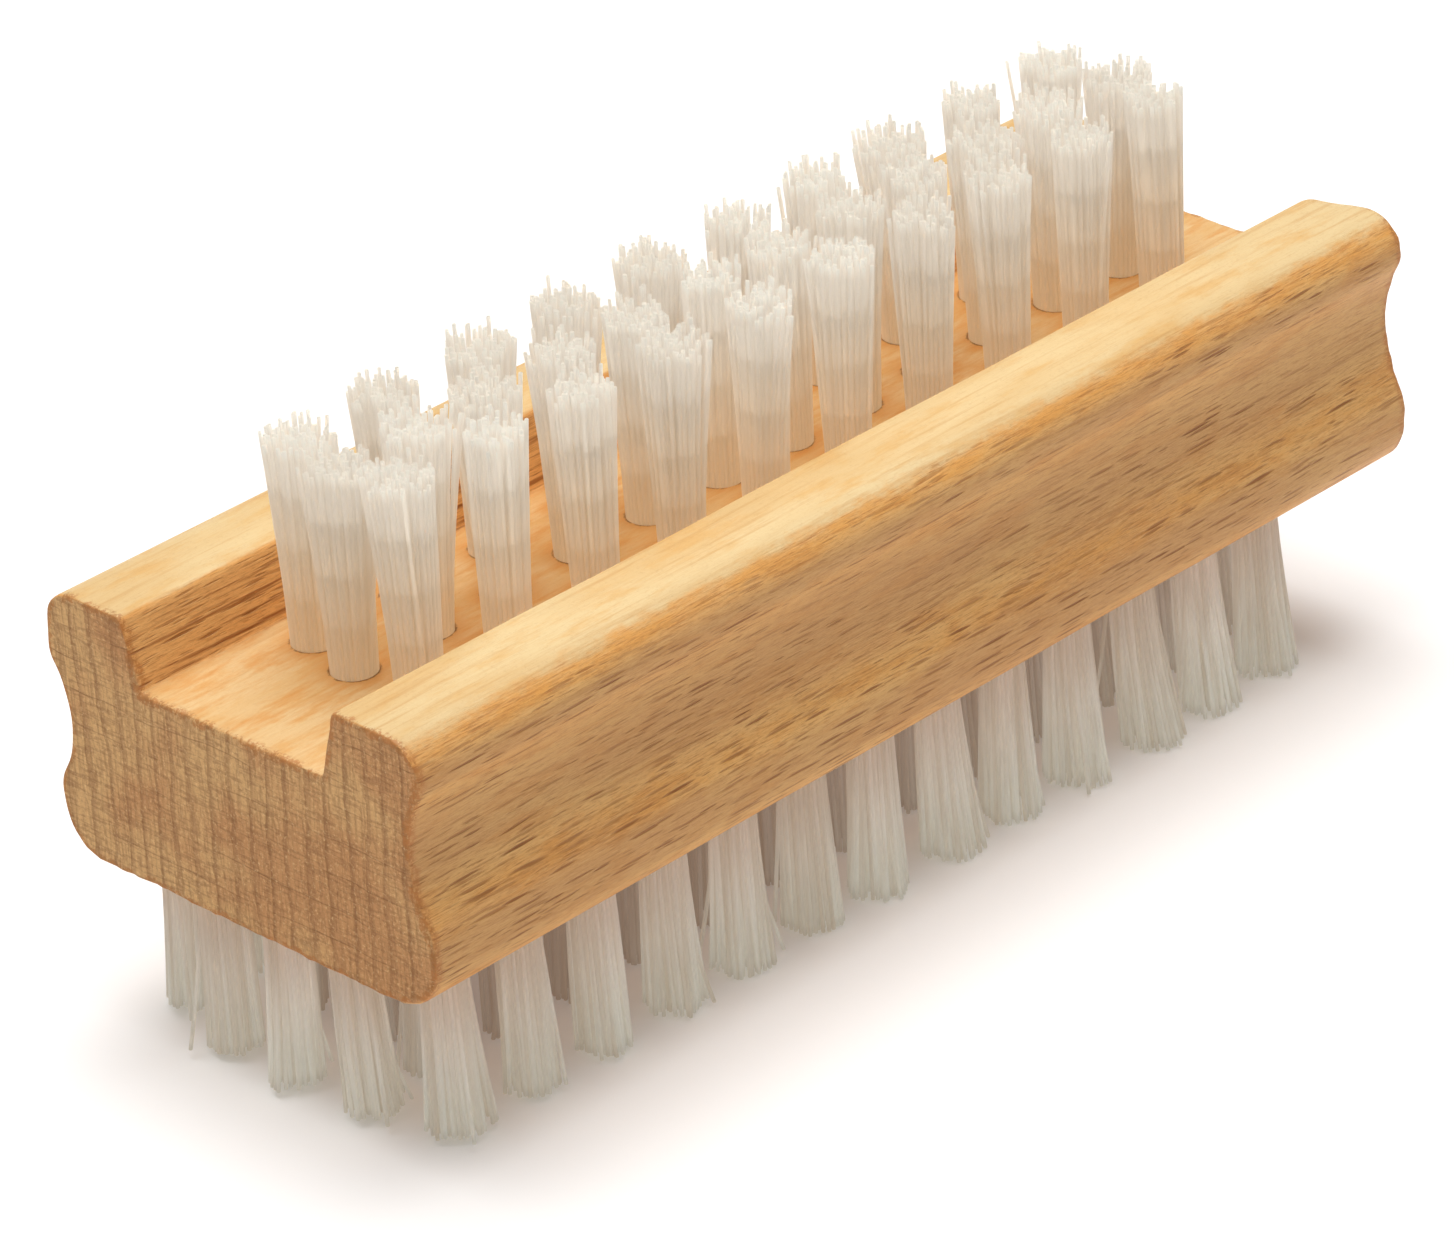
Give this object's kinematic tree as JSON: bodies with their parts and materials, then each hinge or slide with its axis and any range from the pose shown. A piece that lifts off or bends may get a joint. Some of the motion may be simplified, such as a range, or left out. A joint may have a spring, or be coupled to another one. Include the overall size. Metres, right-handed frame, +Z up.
{
  "type": "nail brush",
  "caption": "Double-sided nail brush: a moulded wooden block with bristle tufts in the channel of its top and a wider field of tufts under it.",
  "frame": {"origin": "the middle of the footprint, on the plane on which the lower bristle tips stand", "axes": "+X along the block towards its far end, +Y across it, away from the side that the picture shows, +Z up through the upper bristles"},
  "size_m": [0.105, 0.039, 0.0468],
  "materials": {
    "wood": "sanded beech with a thin clear finish, rough-cut end grain",
    "bristle": "off-white translucent filament, satin",
    "anchor_wire": "flat drawn wire"
  },
  "bodies": {
    "root": {"block": "wood", "upper_tufts_near": "bristle", "upper_tufts_middle": "bristle", "upper_tufts_far": "bristle", "lower_tufts_near_edge": "bristle", "lower_tufts_near_inner": "bristle", "lower_tufts_middle": "bristle", "lower_tufts_far_inner": "bristle", "lower_tufts_far_edge": "bristle", "upper_anchors": "anchor_wire", "lower_anchors": "anchor_wire"}
  },
  "joints": []
}
